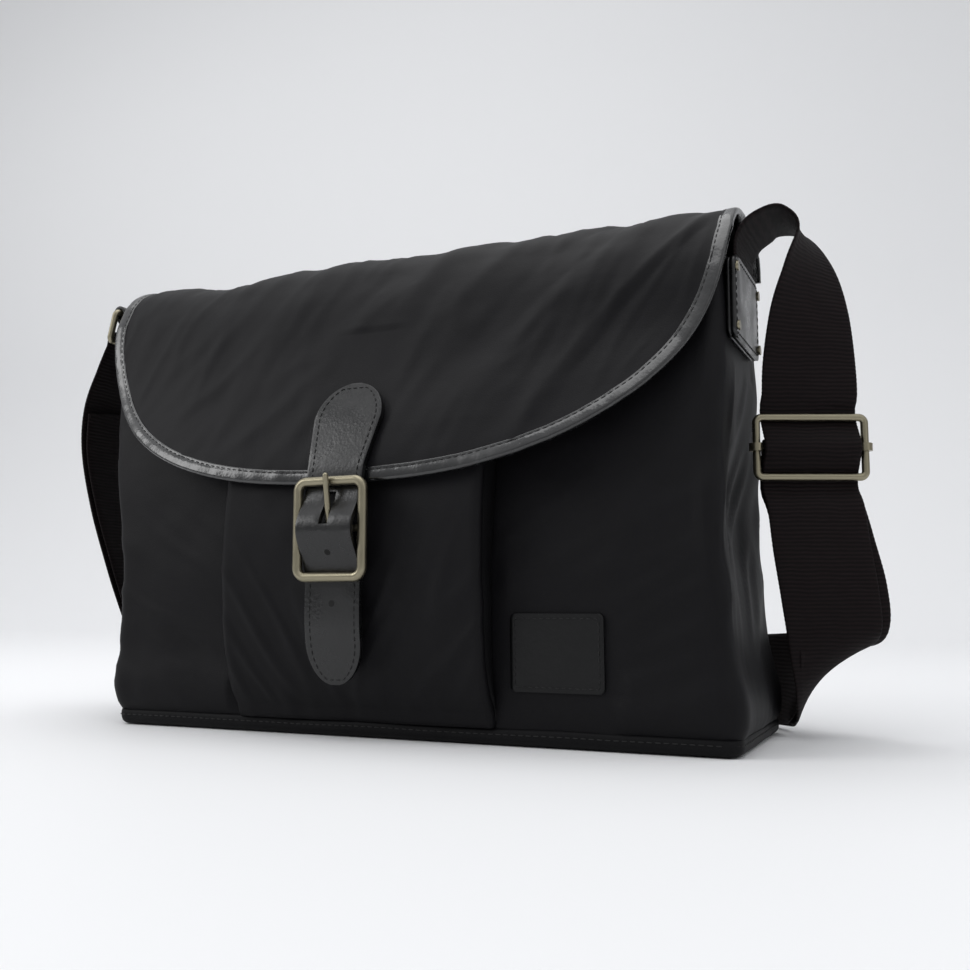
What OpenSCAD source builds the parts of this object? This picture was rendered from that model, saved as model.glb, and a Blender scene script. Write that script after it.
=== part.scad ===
// Messenger bag: soft nylon body, full-width flap with a leather edge, leather closure strap
// with a pin buckle, and an adjustable webbing shoulder strap. Millimetres, +Z up, front at -Y.
// The origin is on the floor under the middle of the bag.

/* [Bag] */
// Width of the flap over its leather edge
flap_w = 388; // [380:1:396]
// Half width of the bag body
body_hw = 190; // [186:1:191]
// Depth of the bag at its base
base_d = 110; // [108:1:112]
// Height of the turned-up base panel
base_lip = 14; // [10:1:14]
// Thickness of the padded bag fabric
fabric_t = 2.4; // [2:0.1:2.6]

/* [Front pocket] */
// Half width of the front pocket
pocket_hw = 76; // [70:1:90]

/* [Flap] */
// Thickness of the flap with its lining
flap_t = 2.6; // [2.2:0.1:2.8]
// Lowest point of the flap's edge above the floor
flap_low_z = 131; // [129:1:134]
// Width of the leather edge binding
binding_w = 8; // [6:1:9]
// Thickness of the leather edge binding
binding_t = 3.6; // [3:0.1:3.8]

/* [Closure] */
// Width of the closure strap through the buckle
strap_w = 32; // [28:1:32]
// Width of the round head of the closure strap
head_w = 40; // [36:1:42]
// Thickness of the doubled leather
leather_t = 3; // [2.6:0.1:3]
// Outer width of the buckle frame
buckle_w = 43; // [42:1:46]
// Radius of the buckle's cast bars
buckle_r = 2.5; // [2.2:0.1:2.5]

/* [Shoulder strap] */
// Width of the webbing
web_w = 50; // [46:1:50]
// Thickness of the webbing
web_t = 1.8; // [1.5:0.1:2]
// Radius of the slider's and the ring's rods
rod_r = 2; // [1.8:0.1:2]

/* [Hidden] */
$fn = 48;
gap = 0.3;
floor_t = 2.4;
slack = 0.1;
flap_hw = flap_w / 2;
flap_top_z = 272;
flap_power = 2.5;

// Side profiles, as [y, z] points from the base up
front_line = smooth([[-base_d / 2, 4], [-base_d / 2 - 2, 80], [-50, 150], [-32, 243]], 5);
back_line = smooth([[base_d / 2, 4], [base_d / 2, 80], [base_d / 2 - 1, 160], [46, 260]], 5);
pocket_line = smooth([[-58.6, 16], [-72, 40], [-77, 95], [-71, 150], [-59, 176]], 4);
flap_top_line = smooth([[48.2, 265.2], [38, 269.6], [8, 271.8], [-18, 270.6], [-29, 267]], 5);
flap_front_line = smooth([[-31, 265.2], [-43, 234], [-56, 195], [-72, 160], [-79, 142], [-80, 130]], 4);

// The closure: heights of the buckle's three bars and its plane
bar_top_z = 131.5;
bar_mid_z = 107.25;
bar_low_z = 83;
buckle_y = -89.6;
buckle_corner = 5;
bar_r = 1.8;
// Room round a pin in its hole
pin_clear = 0.06;
// Leather folded round the middle bar
fold_r = bar_r + 1.5;
chape_hw = 14;
prong_r = 1.5;
prong_half = 2.2;
head_top_z = 186;
tip_z = 29;
// Label patch: its middle and half sizes, as [x, z]
patch_at = [110, 46];
patch_half = [24, 19];
snap_z = 70;
strap_line = smooth([
  [-64, 186], [-71.7, 169.5], [-79, 152], [-84, 139], [-85.4, 130], [-88.4, 121],
  [-93.8, 112.5], [-95.1, 107.25], [-93.8, 102], [-88.4, 93], [-85.4, 84], [-85.4, 72],
  [-85, 58], [-82.6, 42], [-80.6, 28]], 3);

// The slider on the shoulder strap: its middle, the webbing's direction there and its normal
slider_at = [222, 18, 150];
slider_turn = 24.2;
slider_w = 60;
slider_h = 31;
ring_top = [-203, 0, 258];
ring_drop = 19;
ring_tilt = 14;
ring_w = 62;
tab_w = 53;
// Rivets, as [half their distance across, lower height, upper height]
rivets_left = [22, 204, 232];
rivets_right = [29, 206, 236];
rivet_hole_r = 1.55;

// A smooth line through points, with n steps between each two of them
function knot(p, i) = p[max(0, min(len(p) - 1, i))];
function between(p, i, u) = 0.5 * (2 * knot(p, i) + (knot(p, i + 1) - knot(p, i - 1)) * u
  + (2 * knot(p, i - 1) - 5 * knot(p, i) + 4 * knot(p, i + 1) - knot(p, i + 2)) * u * u
  + (3 * knot(p, i) - knot(p, i - 1) - 3 * knot(p, i + 1) + knot(p, i + 2)) * u * u * u);
function smooth(p, n) = concat(
  [for (i = [0:len(p) - 2], k = [0:n - 1]) between(p, i, k / n)], [p[len(p) - 1]]);

// A line moved sideways, to the left of its own direction
function unit(v) = v / norm(v);
function along(p, i) = unit(knot(p, i + 1) - knot(p, i - 1));
function shift(p, d) = [for (i = [0:len(p) - 1]) p[i] + d * [-along(p, i)[1], along(p, i)[0]]];
function backwards(p) = [for (i = [len(p) - 1:-1:0]) p[i]];
function above(p, z) = [for (q = p) if (q[1] >= z) q];
function below(p, z) = [for (q = p) if (q[1] <= z) q];
function ribbon(p, t) = concat(shift(p, t / 2), backwards(shift(p, -t / 2)));

// A side profile stretched across the bag
module across(outline, from_x, to_x) {
  translate([from_x, 0, 0]) rotate([90, 0, 90]) linear_extrude(to_x - from_x) polygon(outline);
}

// A front outline, as [x, z] points, cut through the bag from front to back
module through(outline) {
  translate([0, 150, 0]) rotate([90, 0, 0]) linear_extrude(300) polygon(outline);
}

module round_rect(w, d, r) {
  square([w - 2 * r, d], center = true);
  square([w, d - 2 * r], center = true);
  for (x = [-1, 1], y = [-1, 1]) translate([x * (w / 2 - r), y * (d / 2 - r)]) circle(r);
}

// Body of the bag

module base_panel() {
  inner_w = 2 * body_hw + 2 * gap;
  inner_d = base_d + fabric_t + 2 * gap + 3;
  color("#1d1c20") difference() {
    linear_extrude(base_lip) round_rect(inner_w + 2 * floor_t, inner_d + 2 * floor_t, 5);
    translate([-inner_w / 2, -inner_d / 2, floor_t]) cube([inner_w, inner_d, base_lip]);
  }
}

module base_board() {
  color("#6b6358") translate([0, 0, 4.4]) linear_extrude(2.4) round_rect(2 * body_hw - 44, base_d - 14, 8);
}

module front_panel() {
  color("#222126") across(ribbon(front_line, fabric_t), -body_hw, body_hw);
}

module back_panel() {
  color("#222126") across(ribbon(back_line, fabric_t), -body_hw, body_hw);
}

function gusset_outline(inset) = concat(
  shift(front_line, -fabric_t / 2 - inset), backwards(shift(back_line, fabric_t / 2 + inset)));

module gusset(side) {
  x = body_hw - fabric_t;
  color("#1f1e23") mirror([side < 0 ? 1 : 0, 0, 0]) across(gusset_outline(slack), x, body_hw);
}

module side_gusset_left() { gusset(-1); }

module side_gusset_right() { gusset(1); }

// The lining is a thin open box just inside the walls
module lining() {
  inset = fabric_t / 2 + 0.8;
  sheet_t = 0.8;
  x = body_hw - fabric_t - 0.4;
  inside = concat(backwards(above(shift(front_line, -inset), 12)),
    [[inset - base_d / 2, 8], [base_d / 2 - inset, 8]], above(shift(back_line, inset), 12));
  color("#3b3a3e") {
    across(ribbon(inside, sheet_t), -x, x);
    for (side = [0, 1]) mirror([side, 0, 0])
      across(gusset_outline(inset - fabric_t / 2 + sheet_t / 2 - 0.1), x - sheet_t, x);
  }
}

// A flat slip pocket sewn to the lining at the back
module inner_pocket() {
  line = below(above(shift(back_line, 6.6), 84), 196);
  color("#3b3a3e") across(ribbon(line, 1.2), -95, 95);
}

// Front pocket, with a fold down each side

module pocket_panel() {
  color("#222126") difference() {
    across(ribbon(pocket_line, fabric_t), -pocket_hw, pocket_hw);
    translate([0, -60, snap_z]) rotate([90, 0, 0]) cylinder(h = 30, r = 3.1);
  }
}

module pocket_pleat(side) {
  cover = shift(pocket_line, -fabric_t / 2 - slack);
  wall = below(above(shift(front_line, fabric_t / 2 + gap), 17), 170);
  color("#1b1a1e") mirror([side < 0 ? 1 : 0, 0, 0])
    across(concat(below(above(cover, 17), 172), backwards(wall)), pocket_hw - 3, pocket_hw);
}

module pocket_pleat_left() { pocket_pleat(-1); }

module pocket_pleat_right() { pocket_pleat(1); }

module pocket_hem() {
  rim = above(shift(pocket_line, fabric_t / 2 + 0.7), 158);
  color("#26252a") across(ribbon(rim, 1.2), -pocket_hw, pocket_hw);
}

module label_patch() {
  patch_line = below(above(shift(front_line, fabric_t / 2 + 1.1), 22), 70);
  color("#17161a") intersection() {
    across(ribbon(patch_line, 1.8), patch_at[0] - patch_half[0], patch_at[0] + patch_half[0]);
    through([for (a = [0:90:270], k = [0:15:90])
      patch_at + 3 * [cos(a + k), sin(a + k)] + [
        (cos(a + 45) > 0 ? 1 : -1) * (patch_half[0] - 3),
        (sin(a + 45) > 0 ? 1 : -1) * (patch_half[1] - 3)]]);
  }
}

// Magnetic snap: a socket on the pocket and its washer inside, a stud on the strap's leather tail

module snap_socket() {
  color("#a39a7c") translate([0, 0, snap_z]) rotate([90, 0, 0]) {
    translate([0, 0, 77.9]) cylinder(h = 1.6, r = 8);
    translate([0, 0, 72]) cylinder(h = 6, r = 3);
  }
}

module snap_washer() {
  color("#a39a7c") translate([0, -71, snap_z]) rotate([90, 0, 0]) difference() {
    cylinder(h = 1.8, r = 8);
    translate([0, 0, -1]) cylinder(h = 4, r = 3.05);
  }
}

module snap_stud() {
  color("#a39a7c") translate([0, -79.7, snap_z]) rotate([90, 0, 0]) cylinder(h = 1.5, r = 7);
}

// Flap

function flap_edge(hw, low, steps) = [for (i = [-steps:steps]) let (s = sin(90 * i / steps))
  [hw * s, flap_top_z - (flap_top_z - low) * pow(1 - pow(abs(s), flap_power), 1 / flap_power)]];

module flap_outline(inset) {
  through(concat(flap_edge(flap_hw - inset, flap_low_z + inset, 24),
    [[flap_hw - inset, 300], [inset - flap_hw, 300]]));
}

module flap_top_panel() {
  x = flap_hw - binding_w - slack;
  color("#232228") across(ribbon(flap_top_line, flap_t), -x, x);
}

module flap_top_binding(side) {
  color("#1a1a1c") mirror([side < 0 ? 1 : 0, 0, 0])
    across(ribbon(flap_top_line, binding_t), flap_hw - binding_w, flap_hw);
}

module flap_top_binding_left() { flap_top_binding(-1); }

module flap_top_binding_right() { flap_top_binding(1); }

module flap_front_panel() {
  color("#232228") intersection() {
    across(ribbon(flap_front_line, flap_t), -flap_hw, flap_hw);
    flap_outline(binding_w + slack);
  }
}

module flap_front_binding() {
  color("#1a1a1c") difference() {
    intersection() {
      across(ribbon(flap_front_line, binding_t), -flap_hw, flap_hw);
      flap_outline(0);
    }
    flap_outline(binding_w);
  }
}

// Closure strap and buckle

// Round head, a straight run, and a pointed round tip
function strap_outline() = concat(
  [for (a = [0:15:180]) [head_w / 2 * cos(a), head_top_z - head_w / 2 + head_w / 2 * sin(a)]],
  [[-strap_w / 2 - 0.5, 140], [-strap_w / 2, 128]],
  [for (a = [180:15:360]) [strap_w / 2 * cos(a), tip_z + 22 + 22 * sin(a)]],
  [[strap_w / 2, 128], [strap_w / 2 + 0.5, 140]]);

module closure_strap() {
  color("#18181a") difference() {
    intersection() {
      across(ribbon(strap_line, leather_t), -head_w / 2, head_w / 2);
      through(strap_outline());
    }
    translate([-prong_half - gap, -110, 109.5]) cube([2 * prong_half + 2 * gap, 40, 16.5]);
    for (z = [96, 70]) translate([0, -60, z]) rotate([90, 0, 0]) cylinder(h = 40, r = 1.5);
  }
}

module buckle_frame() {
  side = buckle_w / 2 - buckle_r;
  color("#a59d84") {
    translate([0, buckle_y, (bar_low_z + bar_top_z) / 2])
      rod_frame(buckle_w, bar_top_z - bar_low_z, buckle_r, buckle_corner);
    translate([-side, buckle_y, bar_mid_z]) rotate([0, 90, 0]) cylinder(h = 2 * side, r = bar_r);
  }
}

// The leather tail folds round the middle bar, leaves a slot for the prong, and carries the snap
module buckle_chape() {
  tail = smooth([[-87.6, 105], [-84, 99.5], [-82.4, 92], [-82.4, 60]], 4);
  color("#1b1b1d") difference() {
    union() {
      translate([-chape_hw, buckle_y, bar_mid_z]) rotate([0, 90, 0]) cylinder(h = 2 * chape_hw, r = fold_r);
      across(ribbon(tail, 2), -chape_hw, chape_hw);
    }
    translate([-20, buckle_y, bar_mid_z]) rotate([0, 90, 0]) cylinder(h = 40, r = bar_r + pin_clear);
    translate([-prong_half - gap, buckle_y - 8, bar_mid_z - 6])
      cube([2 * prong_half + 2 * gap, 12, 14]);
  }
}

module buckle_prong() {
  reach = 27;
  color("#b3ab92") difference() {
    translate([0, buckle_y, bar_mid_z]) {
      translate([-prong_half, 0, 0]) rotate([0, 90, 0]) cylinder(h = 2 * prong_half, r = 3.1);
      rotate([9.5, 0, 0]) translate([0, -0.3, 2]) {
        cylinder(h = reach - 2, r = prong_r);
        translate([0, 0, reach - 2]) sphere(prong_r);
      }
    }
    translate([-20, buckle_y, bar_mid_z]) rotate([0, 90, 0]) cylinder(h = 40, r = bar_r + pin_clear);
  }
}

// Strap anchors on the gussets

// On the right a leather patch covers the sewn end of the webbing
module anchor_right() {
  color("#19191b") difference() {
    translate([body_hw + slack, -32, 200]) cube([5.2, 64, 42]);
    translate([body_hw + 2, -web_w / 2 - 0.4, 210]) cube([2.4, web_w + 0.8, 50]);
    rivet_places(rivets_right) translate([body_hw, 0, 0]) rotate([0, 90, 0])
      cylinder(h = 8, r = rivet_hole_r);
  }
}

// On the left a leather tab folds over the ring's upper bar
module anchor_left() {
  loop_r = rod_r + 2.4;
  color("#19191b") difference() {
    union() {
      translate([-body_hw - 5.2, -tab_w / 2, 198]) cube([5.1, tab_w, 46]);
      translate([ring_top[0], -tab_w / 2, ring_top[2]]) rotate([-90, 0, 0]) cylinder(h = tab_w, r = loop_r);
      translate([0, tab_w / 2, 0]) rotate([90, 0, 0]) linear_extrude(tab_w) polygon([
        [ring_top[0] - 2.2, ring_top[2] - 3.2], [ring_top[0] + 3.8, ring_top[2] + 2],
        [-body_hw - slack, 244], [-body_hw - 5.2, 238]]);
    }
    translate([ring_top[0], -40, ring_top[2]]) rotate([-90, 0, 0]) cylinder(h = 80, r = rod_r + pin_clear);
    rivet_places(rivets_left) translate([-body_hw - 8, 0, 0]) rotate([0, 90, 0])
      cylinder(h = 9, r = rivet_hole_r);
  }
}

module rivet(length) {
  cylinder(h = length, r = rivet_hole_r - 0.05);
  translate([0, 0, length]) cylinder(h = 0.9, r = 2.6);
}

// Four rivets at plus and minus a [y] and at two heights
module rivet_places(place) {
  for (y = [-place[0], place[0]], z = [place[1], place[2]]) translate([0, y, z]) children();
}

module anchor_rivets_left() {
  color("#a39a7c") rivet_places(rivets_left)
    translate([-body_hw - 0.4, 0, 0]) rotate([0, -90, 0]) rivet(4.9);
}

module anchor_rivets_right() {
  color("#a39a7c") rivet_places(rivets_right)
    translate([body_hw + 0.4, 0, 0]) rotate([0, 90, 0]) rivet(5);
}

// Ring, slider and webbing of the shoulder strap

// A rectangle of round rod with round corners, w wide along X and h high along Z
module rod_frame(w, h, r, corner) {
  hx = w / 2 - r;
  hz = h / 2;
  for (z = [-hz, hz]) translate([corner - hx, 0, z]) rotate([0, 90, 0])
    cylinder(h = 2 * (hx - corner), r = r);
  for (x = [-hx, hx]) translate([x, 0, corner - hz]) cylinder(h = 2 * (hz - corner), r = r);
  for (x = [-1, 1], z = [-1, 1]) translate([x * (hx - corner), 0, z * (hz - corner)])
    rotate([90, 0, 0]) rotate([0, 0, x > 0 ? (z > 0 ? 0 : 270) : (z > 0 ? 90 : 180)])
      rotate_extrude(angle = 90) translate([corner, 0]) circle(r);
}

module strap_ring() {
  color("#b0a78c") translate(ring_top) rotate([0, ring_tilt, 0]) rotate([0, 0, 90])
    translate([0, 0, -ring_drop / 2]) rod_frame(ring_w, ring_drop, rod_r, 2.6);
}

module slider_frame() {
  color("#b0a78c") translate(slider_at) rotate([0, 0, slider_turn])
    rod_frame(slider_w, slider_h, rod_r, 3);
}

// The loose middle bar, with an eye at each end that runs on the frame's sides
module slider_bar() {
  hx = slider_w / 2 - rod_r;
  color("#b8af94") translate(slider_at) rotate([0, 0, slider_turn]) {
    translate([3.2 - hx, 0, 0]) rotate([0, 90, 0]) cylinder(h = 2 * hx - 6.4, r = 1.6);
    for (x = [-hx, hx]) translate([x, 0, -2]) difference() {
      cylinder(h = 4, r = rod_r + 1.8);
      translate([0, 0, -1]) cylinder(h = 6, r = rod_r + pin_clear);
    }
  }
}

// Route of the doubled webbing from the slider to the ring:
// [x, y, z of the middle, x, y, z of the direction across the webbing, sideways slip of the return]
doubled = [
  [223, 18.5, 118, 0.91, 0.41, 0, 1], [225, 19, 98, 0.91, 0.41, 0, 4], [228, 21, 74, 0.91, 0.41, 0.02, 6],
  [229, 26, 53, 0.87, 0.48, 0.14, 6], [224, 37, 38, 0.62, 0.64, 0.44, 3], [212, 53, 30, 0.26, 0.4, 0.86, 1],
  [196, 74, 27, 0.02, 0.06, 1, 1], [166, 101, 26.2, 0, 0, 1, 0.6], [120, 124, 26.2, 0, 0, 1, 0.6],
  [60, 139, 26.2, 0, 0, 1, 0.6], [0, 144, 26.2, 0, 0, 1, 0.6], [-60, 139, 26.2, 0, 0, 1, 0.6],
  [-120, 124, 26.2, 0, 0, 1, 0.6], [-166, 101, 26.2, 0, 0, 1, 0.6], [-194, 77, 27.5, 0.02, 0.08, 1, 0],
  [-209, 58, 34, 0.25, 0.42, 0.85, 0], [-217, 43, 49, 0.18, 0.76, 0.6, 0], [-220, 31, 71, 0.05, 0.95, 0.3, 0],
  [-223, 18, 100, 0, 1, 0.1, 0.4], [-227, 7, 135, 0, 1, 0, 0.3], [-229, 0, 168, 0, 1, 0, 0],
  [-225, -4, 196, 0, 1, 0, 0]];
// From the anchor up, over and down to the slider
rising = [
  [193.3, 0, 214, 0, 1, 0], [193.3, 0, 246, 0, 1, 0], [195.6, 0, 256, 0, 1, 0], [202, 1, 263, 0, 1, 0],
  [212.5, 3, 266.5, 0, 1, 0], [222, 6, 260, 0.06, 1, 0], [225, 10, 242, 0.4, 0.92, 0],
  [224, 14.5, 218, 0.72, 0.7, 0], [222.5, 18, 192, 0.88, 0.47, 0], [222, 19.4, 178, 0.91, 0.41, 0]];
face = [sin(slider_turn), -cos(slider_turn), 0];
lay = 2.1;
across_dir = [cos(slider_turn), sin(slider_turn), 0];
function at_slider(out, up) = let (p = slider_at + out * face + [0, 0, up]) concat(p, across_dir);
// Behind the slider's upper bar, over the middle bar, and behind the lower bar
weave = [
  at_slider(-3.2, 22), at_slider(-3.3, 15.5), at_slider(0.8, 8), at_slider(5.1, 0), at_slider(0.8, -8),
  at_slider(-3.3, -15.5), at_slider(-2.4, -22)];
// The sewn end of the return, round the middle bar and down behind the lower bar
bar_loop = [
  at_slider(2.9, -1.8), at_slider(3, 0.6), at_slider(1.8, 2.7), at_slider(-0.6, 3.2),
  at_slider(-2.8, 1.2), at_slider(-3.6, -4), at_slider(-6.2, -15.5), at_slider(-6, -22)];
ring_low = ring_top + ring_drop * [-sin(ring_tilt), 0, -cos(ring_tilt)];
ring_turn_r = 5.8;
at_ring = [for (a = [185:-37:0])
  concat(ring_low + ring_turn_r * [cos(a), 0, sin(a)], [0, 1, 0])];

function middle(r) = [r[0], r[1], r[2]];
function wide(r) = [r[3], r[4], r[5]];
function heading(s, i) = unit(middle(knot(s, i + 1)) - middle(knot(s, i - 1)));
function square_to(w, t) = unit(w - (w * t) * t);
// Four corners of the webbing at each step of a route, in order round the section
function corners(s) = [for (i = [0:len(s) - 1])
  let (t = heading(s, i), w = square_to(wide(s[i]), t), n = cross(w, t), c = middle(s[i]))
  for (k = [[-1, -1], [1, -1], [1, 1], [-1, 1]]) c + k[0] * web_w / 2 * w + k[1] * web_t / 2 * n];
// One layer of the doubled webbing, moved out from the middle, and sideways by its slip
function layer(out, slip) = [for (i = [0:len(doubled) - 1])
  let (r = doubled[i], w = square_to(wide(r), heading(doubled, i)), n = cross(w, heading(doubled, i)))
  concat(middle(r) + out * n + (slip * r[6]) * w, wide(r))];

module webbing(route) {
  points = corners(smooth(route, 2));
  last = len(points) - 4;
  sides = [for (i = [0:4:last - 4], k = [0:3]) each [
    [i + k, i + (k + 1) % 4, i + 4 + (k + 1) % 4], [i + k, i + 4 + (k + 1) % 4, i + 4 + k]]];
  color("#2b2225") polyhedron(points, concat(sides,
    [[3, 2, 1], [3, 1, 0], [last, last + 1, last + 2], [last, last + 2, last + 3]]));
}

// From the right anchor through the slider and round the back to the top of the ring's bar
module shoulder_strap() {
  webbing(concat(rising, weave, layer(-lay, 0), at_ring));
}

// From the ring back to the slider's middle bar, which its sewn end wraps
module shoulder_strap_return() {
  webbing(concat(bar_loop, layer(lay, 1)));
}

base_panel();
base_board();
front_panel();
back_panel();
side_gusset_left();
side_gusset_right();
lining();
inner_pocket();
pocket_panel();
pocket_pleat_left();
pocket_pleat_right();
pocket_hem();
label_patch();
snap_socket();
snap_washer();
anchor_left();
anchor_right();
anchor_rivets_left();
anchor_rivets_right();
flap_top_panel();
flap_top_binding_left();
flap_top_binding_right();
flap_front_panel();
flap_front_binding();
closure_strap();
buckle_frame();
buckle_chape();
snap_stud();
buckle_prong();
strap_ring();
slider_frame();
slider_bar();
shoulder_strap();
shoulder_strap_return();
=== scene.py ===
"""Looks for the messenger bag: soft nylon body, leather-edged flap, buckle closure and webbing strap.

Shapes are worked out in millimetres, in the CAD frame (+Z up, front at -Y), and made in metres.
"""

import math

import bpy
import numpy as np
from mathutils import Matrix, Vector, noise


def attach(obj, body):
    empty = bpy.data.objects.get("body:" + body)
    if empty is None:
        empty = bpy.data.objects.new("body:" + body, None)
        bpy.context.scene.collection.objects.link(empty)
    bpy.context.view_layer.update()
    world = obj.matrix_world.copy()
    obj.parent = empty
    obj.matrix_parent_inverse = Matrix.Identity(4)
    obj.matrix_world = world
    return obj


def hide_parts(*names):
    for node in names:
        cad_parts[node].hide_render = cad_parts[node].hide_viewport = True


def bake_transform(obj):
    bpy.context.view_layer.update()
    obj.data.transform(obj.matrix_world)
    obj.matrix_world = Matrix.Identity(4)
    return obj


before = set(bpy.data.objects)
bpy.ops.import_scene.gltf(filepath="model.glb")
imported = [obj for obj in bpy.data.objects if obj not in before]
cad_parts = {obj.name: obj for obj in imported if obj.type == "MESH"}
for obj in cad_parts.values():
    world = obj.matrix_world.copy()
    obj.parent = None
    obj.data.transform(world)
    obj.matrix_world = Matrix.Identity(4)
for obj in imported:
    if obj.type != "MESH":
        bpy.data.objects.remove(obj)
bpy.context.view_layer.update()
MM = 0.001

# ---------------------------------------------------------------- sizes shared with the CAD part, in mm
BODY_HW = 190.0
FLAP_HW = 194.0
FLAP_TOP_Z = 272.0
FLAP_LOW_Z = 131.0
FLAP_POWER = 2.5
POCKET_HW = 76.0
STRAP_W = 32.0
HEAD_W = 40.0
WEB_W = 50.0
MOUTH_FRONT_Z, MOUTH_BACK_Z = 243.0, 260.0
# Side-view lines, as (y, z)
FRONT = [(-55, 4), (-57, 80), (-50, 150), (-32, 243)]
BACK = [(55, 4), (55, 80), (54, 160), (46, 260)]
POCKET = [(-58.6, 16), (-72, 40), (-77, 95), (-71, 150), (-59, 176)]
# The flap starts lower on the back panel than in CAD, and folds over the front edge more softly
FLAP_TOP = [(50.6, 250), (50.0, 258.5), (46.4, 266), (38, 270.2), (16, 273.2), (-6, 272.0), (-20, 266.2)]
FLAP_FRONT = [(-30, 256), (-42.5, 234), (-56, 195), (-72, 160), (-79, 142), (-80, 130)]
CLOSURE = [(-64, 186), (-71.7, 169.5), (-79, 152), (-84, 139), (-85.4, 130), (-88.4, 121),
           (-93.8, 112.5), (-95.1, 107.25), (-93.8, 102), (-88.4, 93), (-85.4, 84), (-85.4, 72),
           (-85, 58), (-82.6, 42), (-80.6, 28)]


# ---------------------------------------------------------------- curves and meshes
def smooth(points, n):
    """Catmull-Rom line through the points, n steps between each two."""
    p = np.array(points, float)
    last = len(p) - 1
    out = []
    for i in range(last):
        a, b, c, d = (p[max(0, min(last, i + k))] for k in (-1, 0, 1, 2))
        for k in range(n):
            u = k / n
            out.append(0.5 * (2 * b + (c - a) * u + (2 * a - 5 * b + 4 * c - d) * u * u
                              + (3 * b - a - 3 * c + d) * u ** 3))
    out.append(p[last])
    return np.array(out)


def lengths(p):
    return np.concatenate([[0], np.cumsum(np.linalg.norm(np.diff(p, axis=0), axis=1))])


def at(p, s):
    """Points of the line p at the arc lengths s."""
    d = lengths(p)
    return np.stack([np.interp(s, d, p[:, k]) for k in range(p.shape[1])], axis=-1)


def units(v):
    return v / np.maximum(np.linalg.norm(v, axis=-1, keepdims=True), 1e-9)


def mesh_object(name, verts, faces, mat, smooth_shade=True, bevel=0.0):
    mesh = bpy.data.meshes.new(name)
    mesh.from_pydata((np.asarray(verts, float) * MM).tolist(), [], faces)
    mesh.materials.append(mat)
    mesh.polygons.foreach_set("use_smooth", [smooth_shade] * len(mesh.polygons))
    mesh.update()
    obj = bpy.data.objects.new(name, mesh)
    bpy.context.scene.collection.objects.link(obj)
    if bevel:
        mod = obj.modifiers.new("edge", "BEVEL")
        mod.width = bevel * MM
        mod.segments = 2
        mod.limit_method = "ANGLE"
        mod.angle_limit = math.radians(50)
    return obj


def grid_normals(p, closed=False):
    du = np.gradient(p, axis=0)
    if closed:
        dv = np.roll(p, -1, axis=1) - np.roll(p, 1, axis=1)
    else:
        dv = np.gradient(p, axis=1)
    return units(np.cross(du, dv))


def slab_data(p, t, normals=None, closed=False, keep=None):
    """Vertices and faces of a sheet of thickness t round the grid of points p.

    keep masks the cells that are there.
    """
    n = grid_normals(p, closed) if normals is None else normals
    rows, cols = p.shape[:2]
    verts = np.concatenate([(p + n * (t / 2)).reshape(-1, 3), (p - n * (t / 2)).reshape(-1, 3)])
    back = rows * cols
    span = cols if closed else cols - 1
    there = np.ones((rows - 1, span), bool) if keep is None else keep

    def kept(i, j):
        j = j % span if closed else j
        return 0 <= i < rows - 1 and 0 <= j < span and there[i, j]

    faces = []
    for i in range(rows - 1):
        for j in range(span):
            if not there[i, j]:
                continue
            k = (j + 1) % cols
            a, b, c, d = i * cols + j, (i + 1) * cols + j, (i + 1) * cols + k, i * cols + k
            faces += [(a, b, c, d), (back + a, back + d, back + c, back + b)]
            sides = (((i - 1, j), (d, a)), ((i + 1, j), (b, c)), ((i, j - 1), (a, b)), ((i, j + 1), (c, d)))
            for neighbour, (u, v) in sides:
                if not kept(*neighbour):
                    faces.append((v, u, back + u, back + v))
    return verts, faces


def slab(name, p, t, mat, normals=None, closed=False, keep=None, round_edge=0.0):
    verts, faces = slab_data(p, t, normals, closed, keep)
    return mesh_object(name, verts, faces, mat, bevel=round_edge)


def join_data(parts):
    verts, faces, base = [], [], 0
    for v, f in parts:
        verts.append(np.asarray(v, float))
        faces += [tuple(base + i for i in face) for face in f]
        base += len(v)
    return np.concatenate(verts), faces


def combine(name, parts):
    """One object from (verts, faces, material) parts, which keep their own materials."""
    verts, faces = join_data([(v, f) for v, f, _ in parts])
    obj = mesh_object(name, verts, faces, parts[0][2])
    mats = [parts[0][2]]
    index = []
    for _, f, mat in parts:
        if mat not in mats:
            mats.append(mat)
            obj.data.materials.append(mat)
        index += [mats.index(mat)] * len(f)
    obj.data.polygons.foreach_set("material_index", index)
    return obj


def strip_data(centre, wide, normal, section):
    """A closed section, as (across, out) points, swept along centre with its wide and normal directions."""
    s = np.array(section, float)
    rows, cols = len(centre), len(s)
    verts = centre[:, None, :] + s[None, :, 0:1] * wide[:, None, :] + s[None, :, 1:2] * normal[:, None, :]
    faces = [(i * cols + j, i * cols + (j + 1) % cols, (i + 1) * cols + (j + 1) % cols, (i + 1) * cols + j)
             for i in range(rows - 1) for j in range(cols)]
    faces += [tuple(range(cols))[::-1], tuple((rows - 1) * cols + j for j in range(cols))]
    return verts.reshape(-1, 3), faces


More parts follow.
